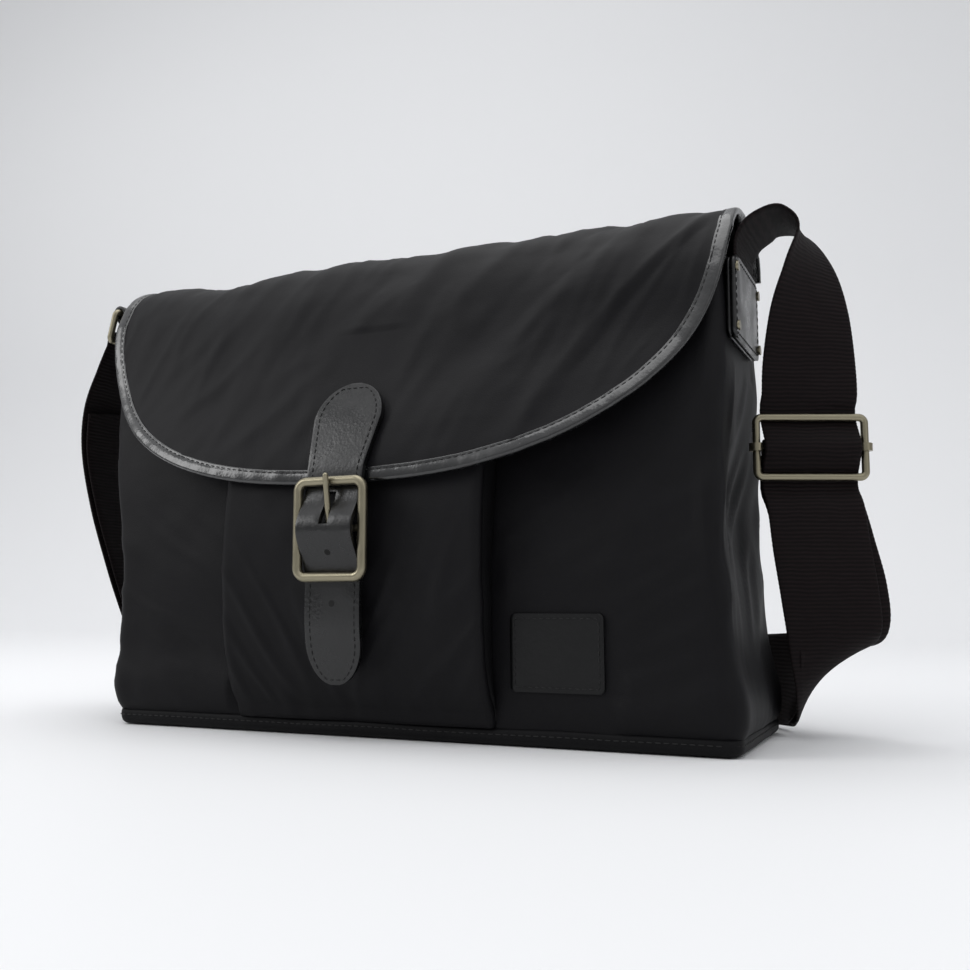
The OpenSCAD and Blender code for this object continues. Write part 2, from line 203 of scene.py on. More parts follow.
def stitches(line, normal, pitch=4.2, length=3.0, r=0.38, lift=0.15):
    """Vertices and faces of a run of thread stitches along a line, each a small flattened capsule."""
    total = lengths(line)[-1]
    count = max(1, int(total / pitch))
    mids = (np.arange(count) + 0.5) * total / count
    parts = []
    for m in mids:
        a, b, c = at(line, [m - length / 2, m, m + length / 2])
        i = int(np.argmin(np.linalg.norm(line - b, axis=1)))
        n = normal[min(i, len(normal) - 1)]
        t = (c - a) / max(np.linalg.norm(c - a), 1e-6)
        w = np.cross(n, t)
        verts, ring = [], 6
        stations = ((a, 0.25), (a + t * 0.4, 1.0), (b + n * 0.12, 1.1), (c - t * 0.4, 1.0), (c, 0.25))
        for q, swell in stations:
            for k in range(ring):
                g = 2 * math.pi * k / ring
                verts.append(q + n * lift + r * swell * (math.cos(g) * w + 0.8 * math.sin(g) * n))
        last = (len(stations) - 1) * ring
        faces = [(h + k, h + (k + 1) % ring, h + ring + (k + 1) % ring, h + ring + k)
                 for h in range(0, last, ring) for k in range(ring)]
        faces += [tuple(range(ring))[::-1], tuple(last + k for k in range(ring))]
        parts.append((verts, faces))
    return parts


def stitch_object(name, runs, mat):
    verts, faces = join_data([part for run in runs for part in run])
    return mesh_object(name, verts, faces, mat)


def fuzz(x, y, z, scale, seed=0.0):
    """Smooth noise between about -1 and 1 at a scale in millimetres."""
    return noise.noise(Vector((x / scale + seed, y / scale + 3.1 * seed, z / scale - seed)))


def ridge(x, z, angle, long, short, seed):
    """Crease field: long soft ridges lying at an angle, in degrees, with sharper crests."""
    a = math.radians(angle)
    u, v = x * math.cos(a) + z * math.sin(a), -x * math.sin(a) + z * math.cos(a)
    n = noise.noise(Vector((u / long + seed, v / short - seed, seed * 1.7)))
    return 1 - 2 * min(1, abs(n) * 2.2)


def push(p, amount, normals=None, closed=False):
    """The grid p moved along its own normals by amount, in millimetres."""
    n = grid_normals(p, closed) if normals is None else normals
    return p + n * amount[..., None]


# ---------------------------------------------------------------- materials
def material(name, colour, rough, metal=0.0, spec=0.5):
    mat = bpy.data.materials.new(name)
    mat.use_nodes = True
    shader = mat.node_tree.nodes["Principled BSDF"]
    shader.inputs["Base Color"].default_value = (*colour, 1)
    shader.inputs["Roughness"].default_value = rough
    shader.inputs["Metallic"].default_value = metal
    shader.inputs["Specular IOR Level"].default_value = spec
    return mat


def texture(mat, kind, scale, **values):
    """A texture node in object space, with its other inputs by name."""
    nodes, links = mat.node_tree.nodes, mat.node_tree.links
    place = nodes.get("Place") or nodes.new("ShaderNodeTexCoord")
    place.name = "Place"
    tex = nodes.new(kind)
    tex.inputs["Scale"].default_value = scale
    for key, value in values.items():
        tex.inputs[key].default_value = value
    links.new(place.outputs["Object"], tex.inputs["Vector"])
    return tex


def bump(mat, layers):
    """Bump from (texture, output, strength, distance) layers, one on the other."""
    nodes, links = mat.node_tree.nodes, mat.node_tree.links
    below = None
    for tex, output, strength, distance in layers:
        node = nodes.new("ShaderNodeBump")
        node.inputs["Strength"].default_value = strength
        node.inputs["Distance"].default_value = distance
        links.new(tex.outputs[output], node.inputs["Height"])
        if below:
            links.new(below.outputs["Normal"], node.inputs["Normal"])
        below = node
    links.new(below.outputs["Normal"], nodes["Principled BSDF"].inputs["Normal"])


def mottle(mat, tex, output, socket, low, high):
    """The texture drives a colour or a roughness between two values."""
    nodes, links = mat.node_tree.nodes, mat.node_tree.links
    ramp = nodes.new("ShaderNodeValToRGB")
    ramp.color_ramp.elements[0].position = 0.3
    ramp.color_ramp.elements[1].position = 0.7
    wrap = (lambda v: (v, v, v, 1)) if not isinstance(low, tuple) else (lambda v: (*v, 1))
    ramp.color_ramp.elements[0].color = wrap(low)
    ramp.color_ramp.elements[1].color = wrap(high)
    links.new(tex.outputs[output], ramp.inputs["Fac"])
    links.new(ramp.outputs["Color"], nodes["Principled BSDF"].inputs[socket])


def make_nylon(name, colour, rough):
    mat = material(name, colour, rough, spec=0.16)
    weave = texture(mat, "ShaderNodeTexVoronoi", 1500)
    slub = texture(mat, "ShaderNodeTexNoise", 210, Detail=5.0)
    bump(mat, [(slub, "Fac", 0.16, 0.0007), (weave, "Distance", 0.25, 0.0002)])
    patch = texture(mat, "ShaderNodeTexNoise", 35, Detail=3.0)
    dark, light = tuple(c * 0.88 for c in colour), tuple(c * 1.12 for c in colour)
    mottle(mat, patch, "Fac", "Base Color", dark, light)
    return mat


def make_leather(name, colour, rough, spec):
    mat = material(name, colour, rough, spec=spec)
    pores = texture(mat, "ShaderNodeTexVoronoi", 620)
    grain = texture(mat, "ShaderNodeTexNoise", 260, Detail=6.0)
    bump(mat, [(grain, "Fac", 0.16, 0.0007), (pores, "Distance", 0.18, 0.0003)])
    patch = texture(mat, "ShaderNodeTexNoise", 60, Detail=3.0)
    mottle(mat, patch, "Fac", "Roughness", rough - 0.07, rough + 0.12)
    return mat


def make_brass(name, colour):
    mat = material(name, colour, 0.34, metal=1.0)
    scuff = texture(mat, "ShaderNodeTexNoise", 300, Detail=5.0)
    bump(mat, [(scuff, "Fac", 0.06, 0.0005)])
    patch = texture(mat, "ShaderNodeTexNoise", 90, Detail=3.0)
    mottle(mat, patch, "Fac", "Roughness", 0.27, 0.44)
    return mat


NYLON = make_nylon("shell_nylon", (0.0027, 0.0025, 0.0034), 0.58)
# A darker copy of the shell nylon for the pocket pleats and the base tub: painted shade, since these parts
# sit in the pleat recesses and under the body's overhang
SHADED_NYLON = make_nylon("shaded_nylon", (0.0019, 0.0018, 0.0024), 0.6)
LINING = make_nylon("lining_cloth", (0.055, 0.054, 0.058), 0.75)
LEATHER = make_leather("black_leather", (0.0046, 0.0048, 0.0052), 0.21, 0.8)
TAB_LEATHER = make_leather("tab_leather", (0.0030, 0.0031, 0.0034), 0.27, 0.5)
LABEL_LEATHER = make_leather("label_patch_leather", (0.0026, 0.0027, 0.0030), 0.38, 0.26)
BRASS = make_brass("antique_brass", (0.27, 0.245, 0.175))
BOARD = material("stiffener_board", (0.15, 0.12, 0.09), 0.8)
THREAD = material("thread", (0.0025, 0.0024, 0.0026), 0.7)
WEBBING = material("webbing", (0.0056, 0.0031, 0.0034), 0.74, spec=0.14)
rib_relief_and_shade = texture(WEBBING, "ShaderNodeTexWave", 150, Distortion=3.0)
rib_relief_and_shade.bands_direction = "Z"
rib_relief_and_shade.inputs["Detail Scale"].default_value = 0.5
# The same wave that bumps the ribs also colours them, lighter on the crests and darker in the grooves:
# painted highlight and painted shade of the ribs
mottle(WEBBING, rib_relief_and_shade, "Fac", "Base Color", (0.0028, 0.0015, 0.0017), (0.0082, 0.0046, 0.0050))
bump(WEBBING, [(rib_relief_and_shade, "Fac", 0.5, 0.0004)])

# CAD nodes that are seen as they are, and only get a material
KEPT_NODES = (
    (LINING, ("inner_pocket",)),
    (LEATHER, ("buckle_chape",)),
    (BRASS, ("snap_socket", "snap_washer", "snap_stud", "anchor_rivets_left", "anchor_rivets_right",
             "buckle_frame", "buckle_prong", "strap_ring", "slider_frame", "slider_bar")))
for look, parts in KEPT_NODES:
    for part in parts:
        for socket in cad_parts[part].material_slots:
            socket.material = look

# ---------------------------------------------------------------- camera
CAMERA_AT = Vector((0.289, -0.546, 0.070))
CAMERA_YAW, CAMERA_PITCH = 24.0, 6.35
CAMERA_LENS, CAMERA_SENSOR = 39.4, 36.0
camera = bpy.data.objects.new("camera", bpy.data.cameras.new("camera"))
camera.data.lens = CAMERA_LENS
camera.data.sensor_width = CAMERA_SENSOR
camera.location = CAMERA_AT
camera.rotation_euler = (math.radians(90 + CAMERA_PITCH), 0, math.radians(CAMERA_YAW))
bpy.context.scene.collection.objects.link(camera)
bpy.context.scene.camera = camera

# ---------------------------------------------------------------- webbing of the shoulder strap
SLIDER_AT = np.array([222.0, 18.0, 150.0])
SLIDER_TURN = math.radians(24.2)
RING_TOP = np.array([-203.0, 0.0, 258.0])
RING_DROP, RING_TILT, RING_TURN_R = 19.0, math.radians(14), 5.8
# Each of the two layers lies this far from the middle line of the doubled webbing
LAY = 2.1
# Rows of x, y, z of the middle, the direction across the webbing, and the return's slip sideways
DOUBLED = [
    (223, 18.5, 118, .91, .41, 0, 1), (225, 19, 98, .91, .41, 0, 4), (228, 21, 74, .91, .41, .02, 6),
    (229, 26, 53, .87, .48, .14, 6), (224, 37, 38, .62, .64, .44, 3), (212, 53, 30, .26, .4, .86, 1),
    (196, 74, 27, .02, .06, 1, 1), (166, 101, 26.2, 0, 0, 1, .6), (120, 124, 26.2, 0, 0, 1, .6),
    (60, 139, 26.2, 0, 0, 1, .6), (0, 144, 26.2, 0, 0, 1, .6), (-60, 139, 26.2, 0, 0, 1, .6),
    (-120, 124, 26.2, 0, 0, 1, .6), (-166, 101, 26.2, 0, 0, 1, .6), (-194, 77, 27.5, .02, .08, 1, 0),
    (-209, 58, 34, .25, .42, .85, 0), (-217, 43, 49, .18, .76, .6, 0), (-220, 31, 71, .05, .95, .3, 0),
    (-223, 18, 100, 0, 1, .1, .4), (-227, 7, 135, 0, 1, 0, .3), (-229, 0, 168, 0, 1, 0, 0),
    (-225, -4, 196, 0, 1, 0, 0)]
RISING = [
    (193.3, 0, 214, 0, 1, 0), (193.3, 0, 246, 0, 1, 0), (195.6, 0, 256, 0, 1, 0), (202, 1, 263, 0, 1, 0),
    (212.5, 3, 266.5, 0, 1, 0), (222, 6, 260, .06, 1, 0), (225, 10, 242, .4, .92, 0),
    (224, 14.5, 218, .72, .7, 0), (222.5, 18, 192, .88, .47, 0), (222, 19.4, 178, .91, .41, 0)]
# Ways through the slider, as (out of its face, up) from its middle
WEAVE = [(-3.2, 22), (-3.3, 15.5), (.8, 8), (5.1, 0), (.8, -8), (-3.3, -15.5), (-2.4, -22)]
BAR_LOOP = [(2.9, -1.8), (3, .6), (1.8, 2.7), (-.6, 3.2), (-2.8, 1.2), (-3.6, -4), (-6.2, -15.5), (-6, -22)]
SLIDER_FACE = np.array([math.sin(SLIDER_TURN), -math.cos(SLIDER_TURN), 0])
SLIDER_ACROSS = np.array([math.cos(SLIDER_TURN), math.sin(SLIDER_TURN), 0])


def at_slider(out_up):
    out, up = out_up
    return (*(SLIDER_AT + out * SLIDER_FACE + np.array([0, 0, up])), *SLIDER_ACROSS)


def route_frame(rows):
    """Middle points, directions across and normals of a route, as the CAD part has them."""
    r = np.array([row[:6] for row in rows], float)
    mid = r[:, :3]
    ahead = np.concatenate([mid[1:], mid[-1:]]) - np.concatenate([mid[:1], mid[:-1]])
    t = units(ahead)
    w = units(r[:, 3:] - (r[:, 3:] * t).sum(1, keepdims=True) * t)
    return mid, w, np.cross(w, t)


def layer(out, slip):
    """One layer of the doubled webbing, out from its middle line and slipped along its width."""
    mid, w, n = route_frame(DOUBLED)
    slips = np.array([row[6] for row in DOUBLED])[:, None] * slip
    moved = mid + out * n + slips * w
    return [(*moved[i], *DOUBLED[i][3:6]) for i in range(len(DOUBLED))]


RING_LOW = RING_TOP + RING_DROP * np.array([-math.sin(RING_TILT), 0, -math.cos(RING_TILT)])
AT_RING = []
for a in np.radians(range(185, -1, -37)):
    AT_RING.append((*(RING_LOW + RING_TURN_R * np.array([math.cos(a), 0, math.sin(a)])), 0, 1, 0))
# Shorter and shorter steps up to the ring keep the smoothed route from looping
TO_RING = [(-220, -1.8, 220, 0, 1, 0), (-216, -0.8, 231, 0, 1, 0), (-214, -0.3, 236, 0, 1, 0)]
MAIN_ROUTE = RISING + [at_slider(q) for q in WEAVE] + layer(-LAY, 0) + TO_RING + AT_RING
RETURN_ROUTE = [at_slider(q) for q in BAR_LOOP] + layer(LAY, 1)

RIB_STEP, RIB_HEIGHT, EDGE_STEP, EDGE_W = 1.15, 0.24, 0.12, 2.0
HALF_W = WEB_W / 2


def webbing_section():
    """Cross-section of the webbing, as (across, out): flat, with rounded woven edges."""
    right = [(HALF_W - 1.2, -.85), (HALF_W - .3, -.55), (HALF_W, 0), (HALF_W - .3, .55), (HALF_W - 1.2, .85)]
    left = [(-x, -out) for x, out in right]
    under = [(x, -.86) for x in np.linspace(-HALF_W + 5, HALF_W - 5, 7)]
    over = [(x, .86) for x in np.linspace(HALF_W - 5, -HALF_W + 5, 7)]
    return np.array(left[2:] + under + right + over + left[:2])


def webbing(name, route):
    """A length of webbing along a route, with every second step across it pressed in as a rib."""
    rows = smooth(route, 10)
    total = lengths(rows[:, :3])[-1]
    count = int(total / RIB_STEP)
    fine_s, rows_s = np.linspace(0, total, count), lengths(rows[:, :3])
    fine = np.stack([np.interp(fine_s, rows_s, rows[:, k]) for k in range(6)], axis=1)
    mid, w, n = route_frame(fine)
    s = webbing_section()
    even = np.arange(count) % 2 == 0
    rib = np.where(even, 1.0, 1.0 - 2 * RIB_HEIGHT)[:, None]
    edge = np.where(even, 0.0, -EDGE_STEP)[:, None] * np.sign(s[None, :, 0])
    body = np.abs(s[None, :, 0]) < HALF_W - EDGE_W
    thick = s[None, :, 1] * np.where(body, rib, 1.0)
    across = s[None, :, 0] + edge
    verts = mid[:, None, :] + across[..., None] * w[:, None, :] + thick[..., None] * n[:, None, :]
    cols = len(s)
    faces = [(i * cols + j, i * cols + (j + 1) % cols, (i + 1) * cols + (j + 1) % cols, (i + 1) * cols + j)
             for i in range(count - 1) for j in range(cols)]
    faces += [tuple(range(cols))[::-1], tuple((count - 1) * cols + j for j in range(cols))]
    obj = mesh_object(name, verts.reshape(-1, 3), faces, WEBBING)
    return obj, mid, total


def declare_webbing(name, route, node):
    obj, mid, total = webbing(name, route)
    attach(obj, "bag")
    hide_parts(node)


declare_webbing("webbing_main", MAIN_ROUTE, "shoulder_strap")
declare_webbing("webbing_return", RETURN_ROUTE, "shoulder_strap_return")

# ---------------------------------------------------------------- body of the bag
front_line, back_line = smooth(FRONT, 8), smooth(BACK, 8)


def front_y(z):
    return np.interp(z, front_line[:, 1], front_line[:, 0])


def back_y(z):
    return np.interp(z, back_line[:, 1], back_line[:, 0])


FABRIC_T = 2.4
CORNER_R = 8.0


def plan_loop(corner, n_front=110, n_side=34, n_corner=5):
    """Columns round the bag, as (x, share of the way from front to back, offset in y, 1 on a gusset)."""
    hw = BODY_HW - FABRIC_T / 2
    arcs = np.linspace(0, math.pi / 2, n_corner + 2)[1:-1]
    # Along the front and back up the right gusset; the other half is the same, turned round
    cols = [(x, 0.0, 0.0, 0.0) for x in np.linspace(-hw + corner, hw - corner, n_front)]
    cols += [(hw - corner + corner * math.sin(a), 0.0, corner * (1 - math.cos(a)), 0.0) for a in arcs]
    cols += [(hw, m, corner * (1 - 2 * m), 1.0) for m in np.linspace(0, 1, n_side)]
    cols += [(hw - corner + corner * math.sin(a), 1.0, -corner * (1 - math.cos(a)), 0.0) for a in arcs[::-1]]
    return np.concatenate([cols, np.array(cols) * [-1, -1, -1, 1] + [0, 1, 0, 0]])


def bump_at(v, centre, width):
    """A smooth bump of height 1 at centre."""
    return np.exp(-((v - centre) / width) ** 2)


# The soft body leans: as shares of its half width, its lower left corner is drawn in, up to a height,
# its lower right one is pushed out, and the left side is drawn in a little more half way up
LEAN_LEFT, LEAN_LEFT_Z = 0.135, 200
LEAN_RIGHT, LEAN_RIGHT_Z = 0.04, 110
WAIST_LEFT, WAIST_Z, WAIST_SPAN = 0.045, 95, 48


def body_grid(rows, low, drop):
    """Grid round the bag from height low to the mouth less drop, with the gussets folded in softly."""
    cols = plan_loop(CORNER_R)
    grid = np.zeros((rows, len(cols), 3))
    for i, v in enumerate(np.linspace(0, 1, rows)):
        for j, (x, m, dy, side) in enumerate(cols):
            top = MOUTH_FRONT_Z + (MOUTH_BACK_Z - MOUTH_FRONT_Z) * m - drop
            z = low + (top - low) * v
            y = (1 - m) * front_y(z) + m * back_y(z) + dy
            if side:
                dent = 9.0 * bump_at(z, 112, 42) * math.sin(math.pi * m) ** 1.6
                roll = 3.0 * bump_at(z, 60, 45) * math.sin(2 * math.pi * m)
                x -= math.copysign(dent + roll * 0.5, x)
            if x < 0:
                lean = LEAN_LEFT * max(0.0, 1 - z / LEAN_LEFT_Z)
                x *= 1 - lean - WAIST_LEFT * bump_at(z, WAIST_Z, WAIST_SPAN)
            else:
                x *= 1 + LEAN_RIGHT * max(0.0, 1 - z / LEAN_RIGHT_Z)
            grid[i, j] = (x, y, z)
    return grid[:, ::-1]


def body_wrinkles(grid):
    """How far each point of the body moves outwards: the overhang over the base, creases and puckers.

    It stays flat under the anchors, the pocket, the label patch and the flap.
    """
    amount = np.zeros(grid.shape[:2])
    for i in range(grid.shape[0]):
        for j in range(grid.shape[1]):
            x, y, z = grid[i, j]
            high = min(1.0, max(0.0, (z - 6) / 16))
            hang = 3.4 * bump_at(z, 22, 15) * min(1.0, (z - 6) / 8) - 1.6 * bump_at(z, 6, 3)
            soft = 1.5 * fuzz(x, y, z, 55, 2.0) + 0.5 * fuzz(x, y, z, 21, 5.0)
            on_side = abs(x) > BODY_HW - 10
            if on_side:
                crease = 1.1 * ridge(y, z, 62, 60, 15, 4.4) * bump_at(z, 120, 60)
                soft *= 0.8
                if abs(y) < 36 and z > 190:
                    soft, crease = soft * 0.15, 0.0
            else:
                slant = 28 if x > 0 else -30
                crease = 0.8 * max(-0.4, ridge(x, z, slant, 70, 16, 1.3)) * bump_at(z, 60, 60)
            pucker = 0.9 * fuzz(x * 2.6, y * 2.6, z * 0.5, 16, 9.0) * math.exp(-max(0.0, z - 12) / 11)
            a = (soft + crease) * high + pucker * high + hang
            if y < 0 and not on_side:
                if abs(x) < POCKET_HW + 4:
                    a = min(a, 0.0) * 0.5
                if 78 < x < 142 and z < 74:
                    a *= 0.25
            amount[i, j] = a * (0.3 if z > 232 else 1.0)
    return amount


shell_grid = body_grid(84, 5.0, 0.0)
shell_grid = push(shell_grid, body_wrinkles(shell_grid), closed=True)
shell = slab("body_shell", shell_grid, 2.0, NYLON, closed=True)
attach(shell, "bag")
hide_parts("front_panel", "back_panel", "side_gusset_left", "side_gusset_right")

inner = body_grid(50, 8.0, 0.6)
inner = push(inner, np.full(inner.shape[:2], -2.2), closed=True)
floor_rows = np.stack([inner[0] * np.array([k, k, 1.0]) for k in (0.01, 0.3, 0.6, 0.85, 0.97)])
lining_grid = np.concatenate([floor_rows, inner])
lining = slab("lining_cloth", lining_grid, 0.6, LINING, closed=True)
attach(lining, "bag")
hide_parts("lining")


def base_grid():
    """The base panel from its middle out and up its turned-up lip."""
    outer_w, outer_d, r = 188.5, 56.4, 7.0
    loop = []
    for cx, cy, start in ((1, 1, 0), (-1, 1, 90), (-1, -1, 180), (1, -1, 270)):
        for a in np.linspace(start, start + 90, 7):
            loop.append((cx * (outer_w - r) + r * math.cos(math.radians(a)),
                         cy * (outer_d - r) + r * math.sin(math.radians(a))))
    loop = np.array(loop + loop[:1])
    ring = at(loop, np.linspace(0, lengths(loop)[-1], 421)[:-1])
    out = units(np.stack([np.sign(ring[:, 0]) * np.clip(np.abs(ring[:, 0]) - outer_w + r, 1e-3, r),
                          np.sign(ring[:, 1]) * np.clip(np.abs(ring[:, 1]) - outer_d + r, 1e-3, r)], axis=1))
    rows = []
    for k in (0.01, 0.25, 0.5, 0.75, 0.9):
        rows.append(np.column_stack([ring * k, np.full(len(ring), 1.2)]))
    lip_h = 9
    for inset, z in ((5, 1.2), (2.6, 1.4), (1.0, 2.2), (0.3, 3.2), (0, 4.6), (0, 6), (0.2, 7.4), (0.7, 8.6)):
        wave = np.array([fuzz(x, y, z, 34, 3.0) for x, y in ring])
        puck = np.array([fuzz(x, y, z, 9, 1.0) for x, y in ring])
        up = np.full(len(ring), float(z)) + (0.6 * wave * z / lip_h)
        swell = (0.5 * wave + 0.35 * puck)[:, None] * min(1, z / lip_h)
        rows.append(np.column_stack([ring - out * inset + out * swell, up]))
    return np.stack(rows)


tub = base_grid()
tub[..., 0] *= np.where(tub[..., 0] < 0, 1 - LEAN_LEFT * (1 - tub[..., 2] / LEAN_LEFT_Z), 1 + LEAN_RIGHT)

# The stiffener board of the CAD part, drawn in on the left with the base
board_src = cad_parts["base_board"]
board_verts = np.array([board_src.matrix_world @ v.co for v in board_src.data.vertices]) / MM
board_verts[:, 0] *= np.where(board_verts[:, 0] < 0, 1 - LEAN_LEFT, 1.0)
board = mesh_object("stiffener_board_drawn_in", board_verts,
                    [tuple(f.vertices) for f in board_src.data.polygons], BOARD, smooth_shade=False)
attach(board, "bag")
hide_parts("base_board")

LIP_SEAM_ROW = 10
tub_part = slab_data(tub, 1.8, closed=True)
# Its faces have to look outwards
if np.dot(grid_normals(tub, True)[8, 0], [1, 0, 0]) < 0:
    tub_part = (tub_part[0], [f[::-1] for f in tub_part[1]])
lip_line = tub[LIP_SEAM_ROW]
lip_out = units(lip_line * np.array([0, 1, 0]) + lip_line * np.array([0.35, 0, 0]))
lip_out[lip_line[:, 1] > 56] = [0, 1, 0]
lip_out[lip_line[:, 1] < -56] = [0, -1, 0]
lip_out[lip_line[:, 0] > 188] = [1, 0, 0]
lip_stitches = join_data(stitches(lip_line + lip_out * 0.9, lip_out, 4.0, 2.8, 0.28))
base = combine("base_tub", [(*tub_part, SHADED_NYLON), (*lip_stitches, THREAD)])
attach(base, "bag")
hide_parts("base_panel")

# ---------------------------------------------------------------- front pocket
pocket_line = smooth(POCKET, 12)
pocket_z = np.linspace(9, 176, 80)
# The face is flat between two edges that roll back: how far past the flat part, and how far back
ROLL_X, ROLL_Y = np.array([1.4, 2.4, 2.9, 3.0]), np.array([.35, 1.1, 2.2, 3.6])
ROLL_W, FLAT_COLS = 3, 79
flat_w = 2 * POCKET_HW - 2 * ROLL_W
pocket_x = np.concatenate([-ROLL_X[::-1], np.linspace(0, flat_w, FLAT_COLS), flat_w + ROLL_X])
pocket_x += ROLL_W - POCKET_HW
pocket_roll = np.concatenate([ROLL_Y[::-1], np.zeros(FLAT_COLS), ROLL_Y])


def pocket_y(z):
    return np.interp(z, pocket_line[:, 1], pocket_line[:, 0])


def pocket_relief(x, z):
    """Soft wrinkles of the pocket, in millimetres outwards."""
    low = max(0.0, 1 - abs(z - 18) / 16)
    tuck = 1.8 * bump_at(z, 18, 9) - 1.4 * bump_at(z, 8, 4)
    soft = 1.5 * fuzz(x, 0, z, 48, 6.0) + 0.6 * fuzz(x, 0, z, 19, 2.5)
    crease = 1.1 * max(-0.3, ridge(x, z, 58 if x > 0 else -58, 75, 14, 7.7)) * bump_at(z, 52, 40)
    pucker = 1.0 * fuzz(x * 2.2, 0, z * 0.4, 17, 4.0) * low
    middle_dip = -1.0 * math.exp(-(x / 26) ** 2)
    under_flap = 0.35 if z > 132 else 1.0
    return (soft + crease) * min(1, max(0, (z - 9) / 14)) * under_flap + pucker + middle_dip + tuck


pocket = np.zeros((len(pocket_z), len(pocket_x), 3))
for i, z in enumerate(pocket_z):
    for j, x in enumerate(pocket_x):
        pocket[i, j] = (x, pocket_y(z) + pocket_roll[j] - pocket_relief(x, z), z)
pocket_part = slab("pocket_front", pocket[:, ::-1], 1.8, NYLON)
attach(pocket_part, "bag")
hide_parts("pocket_panel")

HEM_ROWS = 9
hem_rows = pocket[-HEM_ROWS:, len(ROLL_X):-len(ROLL_X)][:, ::-1]
hem_normals = grid_normals(hem_rows)
hem = slab("pocket_hem_band", hem_rows + hem_normals * 1.7, 1.0, NYLON, hem_normals)
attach(hem, "bag")
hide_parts("pocket_hem")

for sign, side_name in ((-1, "left"), (1, "right")):
    shares_in = np.linspace(0, 1, 12)
    pleat = np.zeros((len(pocket_z) - 2, len(shares_in), 3))
    for i, z in enumerate(pocket_z[1:-1]):
        out_y, wall = pocket_y(z) + 3.4, front_y(z) - 1.7
        for j, d in enumerate(shares_in):
            swell = 2.0 * math.sin(math.pi * d) + 0.6 * fuzz(d * 30, 0, z, 24, 3.0 + sign)
            pleat[i, j] = (sign * (POCKET_HW - 1.4 + swell), out_y + (wall - out_y) * d, z)
    if sign > 0:
        pleat = pleat[:, ::-1]
    pleat_part = slab("pocket_pleat_" + side_name + "_cloth", pleat, 1.2, SHADED_NYLON)
    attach(pleat_part, "bag")
    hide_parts("pocket_pleat_" + side_name)

# ---------------------------------------------------------------- flap
PROFILE_STEPS = 10
SPLIT_Y = 10
flap_profile = smooth(FLAP_TOP + FLAP_FRONT, PROFILE_STEPS)
profile_s = lengths(flap_profile)
fold_at = len(FLAP_TOP) * PROFILE_STEPS
split_at = int(np.argmin(np.abs(flap_profile[:, 0] - SPLIT_Y)))
# Arc lengths at the fold over the front edge, and where the cloth is split into its two pieces
FOLD_S, SPLIT_S = float(profile_s[fold_at]), float(profile_s[split_at])
front_part, front_part_s = flap_profile[fold_at:], profile_s[fold_at:]
# Sags of the flap between its ends, as (x, width, height)
SAGS = ((-124, 26, -4.2), (18, 20, -2.6), (92, 18, -1.8), (-170, 20, 1.8), (-60, 40, 1.0))


def s_at_height(z):
    """Arc length along the flap at a height on its front."""
    return np.interp(-z, -front_part[:, 1], front_part_s)


def flap_point(x, s):
    """Middle surface of the flap at x and arc length s, with its drape."""
    y, z = np.interp(s, profile_s, flap_profile[:, 0]), np.interp(s, profile_s, flap_profile[:, 1])
    near_side = (abs(x) / FLAP_HW) ** 4
    down = min(1.0, max(0.0, (s - FOLD_S) / 70))
    y += 7.0 * near_side * down * down * (3 - 2 * down)
    on_top = max(0.0, 1 - abs(s - FOLD_S * 0.55) / (FOLD_S * 0.75))
    sag = sum(height * bump_at(x, middle, width) for middle, width, height in SAGS)
    return np.array([x, y, z + sag * on_top])


def flap_edge(inset, steps, z_max):
    """Points (x, z) of the flap's curved lower edge, moved in by inset, left to right."""
    out = []
    for i in range(-steps, steps + 1):
        q = math.sin(math.pi / 2 * i / steps)
        low = FLAP_LOW_Z + inset
        z = FLAP_TOP_Z - (FLAP_TOP_Z - low) * (1 - abs(q) ** FLAP_POWER) ** (1 / FLAP_POWER)
        if z <= z_max:
            out.append(((FLAP_HW - inset) * q, z))
    return np.array(out)


PANEL_INSET = 3.0
panel_edge = flap_edge(PANEL_INSET, 90, 254.8)
panel_x, panel_low = panel_edge[:, 0], panel_edge[:, 1]


def flap_relief(x, z, edge_gap):
    """Soft wrinkles of the flap, in millimetres outwards, at x and arc length z.

    edge_gap is the distance to its edge.
    """
    broad = 1.7 * fuzz(x, 0, z, 80, 3.3) + 0.8 * fuzz(x, 0, z, 32, 8.1) + 0.25 * fuzz(x, 0, z, 12, 5.5)
    long_crease = 1.5 * max(-0.5, ridge(x, z, -52, 150, 27, 2.2)) * min(1, max(0.25, (x + 150) / 160))
    crease = long_crease + 0.6 * max(-0.3, ridge(x, z, -70, 70, 15, 6.6))
    pucker = 0.55 * fuzz(x, 0, z, 8.5, 1.9) * math.exp(-edge_gap / 9)
    fade = min(1.0, edge_gap / 22)
    strap_press = math.exp(-(max(0.0, abs(x) - 14) / 9) ** 2) if z > FOLD_S + 40 else 0.0
    return (broad + crease * 0.8) * fade * (1 - 0.8 * strap_press) + pucker


SPLIT_ROW = 19
top_rows = np.concatenate([np.linspace(0, SPLIT_S, SPLIT_ROW + 1)[:-1], np.linspace(SPLIT_S, FOLD_S, 20)])
front_rows = np.linspace(0, 1, 74)[1:]
flap_grid = np.zeros((len(top_rows) + len(front_rows), len(panel_x), 3))
flap_move = np.zeros(flap_grid.shape[:2])
for j, (x, low) in enumerate(zip(panel_x, panel_low)):
    end_s = float(s_at_height(low))
    for i in range(flap_grid.shape[0]):
        s = top_rows[i] if i < len(top_rows) else FOLD_S + (end_s - FOLD_S) * front_rows[i - len(top_rows)]
        flap_grid[i, j] = flap_point(x, s)
        gap = min(FLAP_HW - abs(x), (end_s - s) * 0.8 + 2, 30)
        flap_move[i, j] = flap_relief(x, s, max(0.0, gap)) * min(1.0, s / 14)
flap_grid = flap_grid[:, ::-1]
flap_move = flap_move[:, ::-1]
base_normals = grid_normals(flap_grid)
if base_normals[10, 90][2] < 0:
    base_normals = -base_normals
